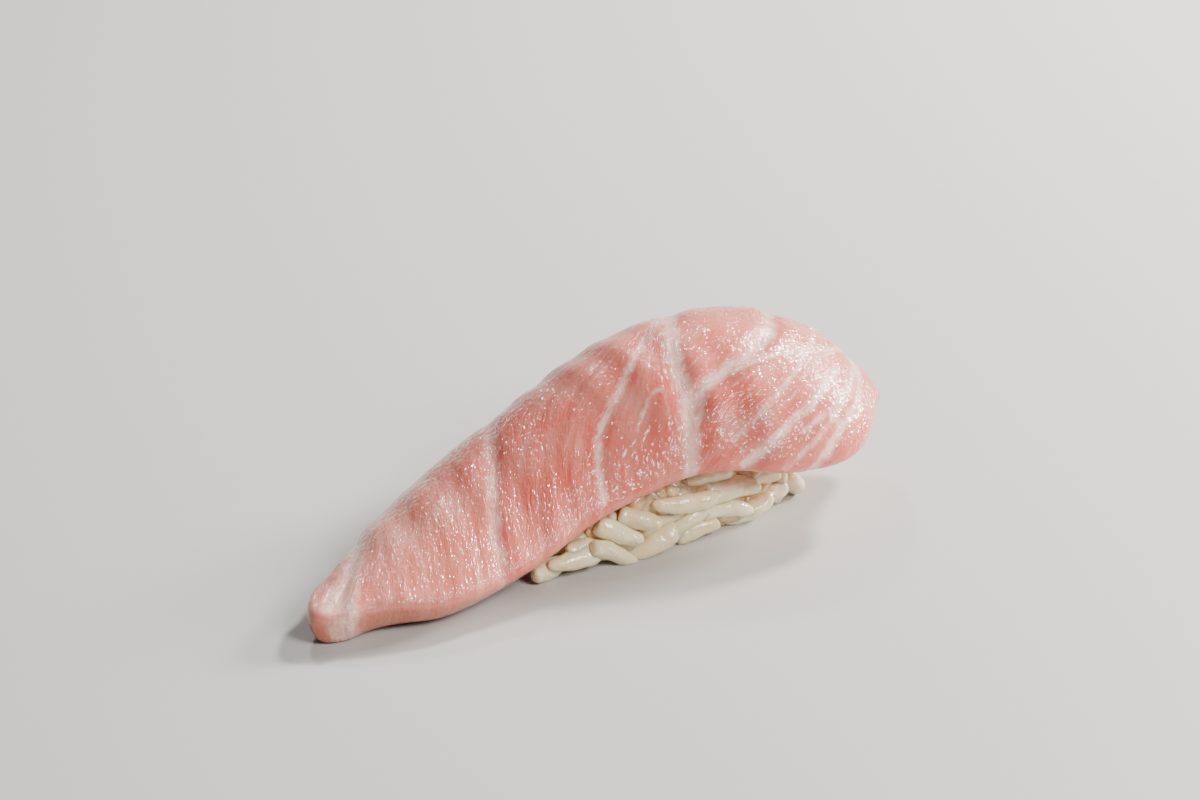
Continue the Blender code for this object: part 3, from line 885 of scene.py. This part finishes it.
def make_core():
    """The pressed rice inside: a rounded block with a flat foot, its top fitted under the slice."""
    mesh = bpy.data.meshes.new("rice_core")
    build = bmesh.new()
    bmesh.ops.create_cube(build, size=2.0)
    bmesh.ops.subdivide_edges(build, edges=build.edges[:], cuts=RICE_CUTS, use_grid_fill=True)
    half = core_half()
    for vertex in build.verts:
        block = np.array(vertex.co) * (half[0], half[1], half[2] / 2) + (0, 0, half[2] / 2)
        x, y, z = core_surface(block + (0, 0, 1e-6), CORE_SHRINK)
        z = min(z, seat_limit(x, y) - CORE_SHRINK)
        vertex.co = in_metres((x, y, max(z, CORE_SHRINK)))
    build.to_mesh(mesh)
    build.free()
    mesh.shade_smooth()
    # The core, seen only in the gaps, is painted in full gap shade.
    add_attribute(mesh, "tone_and_shade", "FLOAT", "value", np.full(len(mesh.vertices), CORE_GAP_SHADE))
    return add_object("rice_core", mesh)


def on_side(x, height, out, tilt, turn, length, width):
    """A grain on the shown side of the core: its middle, its rotation, its length and width."""
    share = min(abs(x - core_middle()[0]) / core_half()[0], 1.0)
    level = height / RICE_CORE_HEIGHT
    left = max(1 - share**RICE_SQUARENESS - level**RICE_SQUARENESS, CORE_LEAST)
    depth = RICE_HALF_WIDTH * left ** (1 / RICE_SQUARENESS)
    spin = Euler((0, -math.radians(tilt), -math.radians(turn)))
    return Vector((x, RICE_Y - depth - out + GRAIN_SINK, height)), spin, (length, width)


def round_the_core(bearing, height, out, tilt):
    """A grain by its bearing round the core, in degrees from +X: it lies along the side."""
    turn = math.radians(bearing)
    half = core_half()
    way = np.array([math.cos(turn), math.sin(turn) * BEARING_SQUASH, 0.0]) * half[0]
    level = 1 - (height / RICE_CORE_HEIGHT) ** RICE_SQUARENESS
    foot = (core_surface(way) - core_middle()) * level ** (1 / RICE_SQUARENESS)
    slope = np.sign(foot[:2]) * np.abs(foot[:2] / half[:2]) ** (RICE_SQUARENESS - 1) / half[:2]
    slope = slope / np.linalg.norm(slope)
    middle = core_middle()[:2] + foot[:2] + slope * (out - GRAIN_SINK)
    spin = Euler((0, -math.radians(tilt), math.atan2(slope[0], -slope[1])))
    return Vector((middle[0], middle[1], height)), spin, None


def rule_grains(heights, spacing, depth, seed):
    """The grains all round the core, row above row."""
    draw = random.Random(seed)
    half = core_half()
    poses = []
    for row, height in enumerate(heights):
        bearing = ROW_OFFSET_DEG * (row % 2)
        while bearing < ROW_END_DEG:
            high = height + draw.uniform(-RULE_LIFT, RULE_LIFT)
            out = draw.uniform(*RULE_OUT) - depth
            if ROW_SHOWN_FROM_DEG < bearing < ROW_SHOWN_TO_DEG:
                out -= ROW_SHOWN_DEPTH
            tilt = draw.choice((-1, 1)) * draw.triangular(*RULE_TILT)
            poses.append(round_the_core(bearing, high, out, tilt))
            turn = math.radians(bearing)
            reach = math.hypot(half[0] * math.sin(turn), half[1] * math.cos(turn))
            bearing += math.degrees(spacing * draw.uniform(*RULE_SPACING) / reach)
    return poses


def under_grains():
    """Poses of the grains that lie flat on the table, under the core."""
    draw = random.Random(UNDER_SEED)
    poses = []
    for row, y in enumerate(UNDER_ROWS):
        share = 1 - (abs(y - UNDER_MIDDLE) / (RICE_HALF_WIDTH + UNDER_MIDDLE)) ** RICE_SQUARENESS
        half = (core_half()[0] - UNDER_INSET) * max(share, 0.0) ** (1 / RICE_SQUARENESS)
        x = core_middle()[0] - half + UNDER_SPACING * 0.5 * (row % 2)
        while x < core_middle()[0] + half:
            tilt, turn = draw.uniform(-UNDER_TILT, UNDER_TILT), draw.uniform(0, 180)
            right, back = (draw.uniform(-most, most) for most in UNDER_ASIDE)
            spin = Euler((0, math.radians(tilt), math.radians(turn)))
            poses.append((Vector((x + right, y + back, UNDER_HEIGHT)), spin, None))
            x += UNDER_SPACING * draw.uniform(*UNDER_STEPS)
    return poses


def make_grain_shape(index, bend, taper, flat, bluntness):
    """One cooked grain a unit long and wide, along X: bent, tapered and blunt at its ends."""
    build = bmesh.new()
    bmesh.ops.create_uvsphere(build, u_segments=GRAIN_SIDES, v_segments=GRAIN_RINGS, radius=0.5)
    bmesh.ops.rotate(build, verts=build.verts[:], matrix=Matrix.Rotation(math.pi / 2, 3, "Y"))
    for vertex in build.verts:
        girth = max(2 * math.hypot(vertex.co.y, vertex.co.z), 1e-6)
        width = girth ** (bluntness - 1) * (1 + taper * 2 * vertex.co.x) * GRAIN_SWELL
        vertex.co.y = vertex.co.y * width + bend * (0.25 - (2 * vertex.co.x) ** 2)
        vertex.co.z *= width * flat
        vertex.co.x *= GRAIN_SWELL
    bmesh.ops.recalc_face_normals(build, faces=build.faces[:])
    mesh = bpy.data.meshes.new(f"grain_shape_{index}")
    build.to_mesh(mesh)
    build.free()
    return bpy.data.objects.new(f"grain_shape_{index}", mesh)


def seat_grain(middle, spin, size):
    """Moves a grain up off the table or down off the slice; None where there is no room for it."""
    turn = spin.to_matrix()
    skin = []
    for x, y, z in GRAIN_PROBES:
        skin.append(turn @ Vector((x * size[0] / 2, y * size[1] / 2, z * size[2] / 2)))
    for _ in range(SEAT_TRIES):
        placed = [middle + place for place in skin]
        below = min(p.z for p in placed)
        over = max(p.z - seat_limit(p.x, p.y) for p in placed)
        if below >= -TABLE_DIP and over <= 0:
            return middle
        if below < -TABLE_DIP and over > 0:
            return None
        middle = middle + Vector((0, 0, -below - TABLE_REST if below < 0 else -over))
    return None


def make_grain_points(settings):
    """A point for each grain, with its turn, size, shape and share of painted gap shade as named values.
    """
    draw = random.Random(GRAIN_SEED)
    poses = [on_side(*grain) for grain in FRONT_GRAINS]
    for rule in GRAIN_RULES:
        poses += rule_grains(*rule)
    poses += under_grains()
    points, turns, sizes, shapes, tones_and_shades = [], [], [], [], []
    for middle, spin, given in poses:
        long = settings.grain_length / MM * draw.uniform(*GRAIN_SIZES)
        wide = settings.grain_width / MM * draw.uniform(*GRAIN_SIZES)
        long, wide = given or (long, wide)
        spin = Euler((draw.uniform(-GRAIN_ROLL, GRAIN_ROLL), spin.y, spin.z))
        shape, tone_and_shade = draw.randrange(len(GRAIN_SHAPES)), draw.random()
        # A random share of painted gap shade on the grains placed one by one; more on the deeper grains
        # all round.
        tone_and_shade = tone_and_shade * SHOWN_TONE_AND_SHADE if given else RULE_GAP_SHADE + tone_and_shade * (1 - RULE_GAP_SHADE)
        seated = seat_grain(middle, spin, (long, wide, wide))
        if seated is None:
            continue
        points.append(in_metres(seated).tolist())
        turns.append(tuple(spin))
        sizes.append((long * MM, wide * MM, wide * MM))
        shapes.append(shape)
        tones_and_shades.append(tone_and_shade)
    mesh = bpy.data.meshes.new("rice_grains")
    mesh.from_pydata(points, [], [])
    add_attribute(mesh, "turn", "FLOAT_VECTOR", "vector", turns)
    add_attribute(mesh, "size", "FLOAT_VECTOR", "vector", sizes)
    add_attribute(mesh, "tone_and_shade", "FLOAT", "value", tones_and_shades)
    variant = mesh.attributes.new("shape", "INT", "POINT")
    variant.data.foreach_set("value", shapes)
    return add_object("rice_grains", mesh)


def grain_tree():
    """Nodes that set a grain on every point, smooth it, swell it out of shape and add the core."""
    tree = bpy.data.node_groups.new("rice_grains", "GeometryNodeTree")
    sockets = (
        ("Points", "NodeSocketGeometry"), ("Shapes", "NodeSocketCollection"),
        ("Core", "NodeSocketObject"), ("Unevenness", "NodeSocketFloat"),
        ("Seed", "NodeSocketInt"), ("Material", "NodeSocketMaterial"),
    )
    for name, kind in sockets:
        tree.interface.new_socket(name, in_out="INPUT", socket_type=kind)
    tree.interface.new_socket("Rice", in_out="OUTPUT", socket_type="NodeSocketGeometry")
    given = add_node(tree, "NodeGroupInput").outputs

    def made(kind, inputs=(), **settings):
        return add_node(tree, kind, inputs, **settings).outputs[0]

    def named(name, kind):
        return made("GeometryNodeInputNamedAttribute", {"Name": name}, data_type=kind)

    shapes = made("GeometryNodeCollectionInfo", {
        "Collection": given["Shapes"], "Separate Children": True, "Reset Children": True})
    turn = made("FunctionNodeEulerToRotation", {0: named("turn", "FLOAT_VECTOR")})
    laid = made("GeometryNodeInstanceOnPoints", {
        "Points": given["Points"], "Instance": shapes, "Pick Instance": True,
        "Instance Index": named("shape", "INT"), "Rotation": turn,
        "Scale": named("size", "FLOAT_VECTOR")})
    real = made("GeometryNodeRealizeInstances", {0: laid})
    core = add_node(tree, "GeometryNodeObjectInfo", {"Object": given["Core"]}).outputs["Geometry"]
    joined = add_node(tree, "GeometryNodeJoinGeometry")
    tree.links.new(core, joined.inputs[0])
    smooth = made("GeometryNodeSubdivisionSurface", {"Mesh": real, "Level": 1})
    tree.links.new(smooth, joined.inputs[0])

    place = made("GeometryNodeInputPosition")
    wave = add_node(tree, "ShaderNodeTexNoise", {
        "Vector": place, "W": given["Seed"], "Scale": SWELL_SCALE, "Detail": 1.0},
        noise_dimensions="4D").outputs["Color"]
    centred = made("ShaderNodeVectorMath", {0: wave, 1: (0.5, 0.5, 0.5)}, operation="SUBTRACT")
    reach = made("ShaderNodeMath", {0: given["Unevenness"], 1: SWELL_GAIN}, operation="MULTIPLY")
    swell = made("ShaderNodeVectorMath", {0: centred, "Scale": reach}, operation="SCALE")
    moved = made("GeometryNodeSetPosition", {"Geometry": joined.outputs[0], "Offset": swell})
    parts = add_node(tree, "ShaderNodeSeparateXYZ", {0: place}).outputs
    above = made("ShaderNodeMath", {0: parts[2], 1: 0.0}, operation="MAXIMUM")
    flat = made("ShaderNodeCombineXYZ", {0: parts[0], 1: parts[1], 2: above})
    pressed = made("GeometryNodeSetPosition", {"Geometry": moved, "Position": flat})
    soft = made("GeometryNodeSetShadeSmooth", {0: pressed})
    final = made("GeometryNodeSetMaterial", {"Geometry": soft, "Material": given["Material"]})
    tree.links.new(final, add_node(tree, "NodeGroupOutput").inputs[0])
    return tree


def make_rice(settings):
    """The grains by their nodes over the core, as one plain mesh."""
    core = make_core()
    grains = make_grain_points(settings)
    shapes = bpy.data.collections.new("grain_shapes")
    bpy.context.scene.collection.children.link(shapes)
    for index, shape in enumerate(GRAIN_SHAPES):
        shapes.objects.link(make_grain_shape(index, *shape))
    tree = grain_tree()
    given = {
        "Shapes": shapes, "Core": core, "Unevenness": settings.unevenness,
        "Seed": settings.seed, "Material": rice_material(settings),
    }
    modifier = grains.modifiers.new("Grains", "NODES")
    modifier.node_group = tree
    for item in tree.interface.items_tree:
        if item.item_type == "SOCKET" and item.in_out == "INPUT" and item.name in given:
            modifier[item.identifier] = given[item.name]
    graph = bpy.context.evaluated_depsgraph_get()
    mesh = bpy.data.meshes.new_from_object(grains.evaluated_get(graph))
    grains.modifiers.remove(modifier)
    for spent in (grains, core, *shapes.objects):
        bpy.data.objects.remove(spent)
    bpy.data.collections.remove(shapes)
    mesh.name = "rice_ball"
    return add_object("rice_ball", mesh)


def rice_material(settings):
    """Moist, slightly see-through grains, each a little different, with painted shade: browner deep in
    the gaps.
    """
    material, tree, shader = new_material("moist_rice")
    place = add_node(tree, "ShaderNodeTexCoord").outputs["Object"]
    # Painted shade: each grain is mixed towards the brown gap shade by its share.
    tone_and_shade = maths(tree, "MULTIPLY", read_attribute(tree, "tone_and_shade", "Fac"), GAP_SHADE_SHARE)
    cloud = maths(tree, "MULTIPLY", spread_noise(tree, place, *CLOUD), CLOUD_SHARE)
    share = maths(tree, "ADD", tone_and_shade, cloud)
    colour = mix_colours(tree, share, settings.grain_colour, settings.painted_gap_shade)
    tree.links.new(colour, shader.inputs["Base Color"])
    skin = noise(tree, place, *SKIN)
    add_bump(tree, shader, skin, SKIN_BUMP, "Normal", "Coat Normal")
    tree.links.new(ramp(tree, skin, *PATTERN_RANGE, *RICE_ROUGHNESS), shader.inputs["Roughness"])
    set_shader(shader, RICE_SHADER)
    return material


def way_back(azimuth, elevation):
    """The unit direction from the nigiri to a light or camera, by bearing and height in degrees."""
    a, e = math.radians(azimuth), math.radians(elevation)
    return Vector((math.sin(a) * math.cos(e), -math.cos(a) * math.cos(e), math.sin(e)))


def add_light(name, azimuth, elevation, distance, size, colour, power):
    """A soft square light that faces the nigiri, placed by its bearing and height."""
    back = way_back(azimuth, elevation)
    lamp = bpy.data.lights.new(name, "AREA")
    lamp.size = size
    lamp.energy = power
    lamp.color = colour
    light = add_object(name, lamp)
    light.location = Vector(LIGHT_AIM) + back * distance
    light.rotation_euler = back.to_track_quat("Z", "Y").to_euler()


def add_camera(distance):
    """The camera at the photograph's angle, moved sideways and up to its framing."""
    back = way_back(CAMERA_AZIMUTH_DEG, CAMERA_ELEVATION_DEG)
    turn = math.radians(CAMERA_AZIMUTH_DEG)
    right = Vector((math.cos(turn), math.sin(turn), 0))
    up = back.cross(right)
    target = Vector(CAMERA_TARGET) * MM + right * CAMERA_RIGHT * MM + up * CAMERA_UP * MM
    lens = bpy.data.cameras.new("camera")
    lens.lens = LENS_MM
    lens.sensor_width = SENSOR_MM
    lens.clip_start = NEAR_CLIP
    camera = add_object("camera", lens)
    camera.location = target + back * distance
    camera.rotation_euler = back.to_track_quat("Z", "Y").to_euler()
    bpy.context.scene.camera = camera


def make_floor(colour):
    """A plain pale floor, far wider than the view."""
    mesh = bpy.data.meshes.new("floor")
    signs = ((-1, -1), (1, -1), (1, 1), (-1, 1))
    corners = [(x * FLOOR_HALF, y * FLOOR_HALF, 0) for x, y in signs]
    mesh.from_pydata(corners, [], [(0, 1, 2, 3)])
    floor = add_object("floor", mesh)
    material, _, shader = new_material("pale_floor")
    set_shader(shader, {"Base Color": (*colour, 1.0), "Roughness": FLOOR_ROUGHNESS})
    floor.data.materials.append(material)
    return floor


class NIGIRI_OT_lay_slice(bpy.types.Operator):
    """Makes the marbled fish slice, in place of its plain solid"""

    bl_idname = "nigiri.lay_slice"
    bl_label = "Lay the fish slice"

    def execute(self, context):
        settings = context.scene.nigiri_slice
        fish = make_slice(settings)
        fish.data.materials.append(flesh_material(settings))
        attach(fish, "root")
        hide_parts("fish")
        return {"FINISHED"}


class NIGIRI_OT_press_rice(bpy.types.Operator):
    """Makes the ball of rice grain by grain, in place of its plain solid"""

    bl_idname = "nigiri.press_rice"
    bl_label = "Press the rice"

    def execute(self, context):
        rice = make_rice(context.scene.nigiri_rice)
        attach(rice, "root")
        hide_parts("rice")
        return {"FINISHED"}


class NIGIRI_OT_set_stage(bpy.types.Operator):
    """Sets the plain floor, the soft lights and the camera"""

    bl_idname = "nigiri.set_stage"
    bl_label = "Set the stage"

    def execute(self, context):
        settings = context.scene.nigiri_stage
        make_floor(tuple(settings.floor_colour))
        powers = (settings.key_power, settings.back_power, settings.side_power, settings.fill_power)
        for light, power in zip(LIGHTS, powers):
            add_light(*light, power)
        world = bpy.data.worlds.new("studio")
        world.use_nodes = True
        set_shader(world.node_tree.nodes["Background"], SKY)
        context.scene.world = world
        add_camera(settings.camera_distance)
        return {"FINISHED"}


class NIGIRI_PT_panel(bpy.types.Panel):
    """Lists the sizes, the colours and the steps"""

    bl_idname = "NIGIRI_PT_panel"
    bl_label = "Nigiri"
    bl_space_type = "VIEW_3D"
    bl_region_type = "UI"
    bl_category = "Nigiri"

    def draw(self, context):
        scene = context.scene
        steps = (
            (scene.nigiri_slice, NIGIRI_OT_lay_slice),
            (scene.nigiri_rice, NIGIRI_OT_press_rice),
            (scene.nigiri_stage, NIGIRI_OT_set_stage),
        )
        for settings, step in steps:
            box = self.layout.box()
            for name in settings.bl_rna.properties.keys():
                if name not in ("rna_type", "name"):
                    box.prop(settings, name)
            box.operator(step.bl_idname)


CLASSES = (
    SliceSettings, RiceSettings, StageSettings,
    NIGIRI_OT_lay_slice, NIGIRI_OT_press_rice, NIGIRI_OT_set_stage, NIGIRI_PT_panel,
)


def register():
    for made in CLASSES:
        bpy.utils.register_class(made)
    bpy.types.Scene.nigiri_slice = PointerProperty(type=SliceSettings)
    bpy.types.Scene.nigiri_rice = PointerProperty(type=RiceSettings)
    bpy.types.Scene.nigiri_stage = PointerProperty(type=StageSettings)


def unregister():
    del bpy.types.Scene.nigiri_slice
    del bpy.types.Scene.nigiri_rice
    del bpy.types.Scene.nigiri_stage
    for made in reversed(CLASSES):
        bpy.utils.unregister_class(made)


def main():
    register()
    bpy.ops.nigiri.lay_slice()
    bpy.ops.nigiri.press_rice()
    bpy.ops.nigiri.set_stage()


if __name__ == "__main__":
    main()
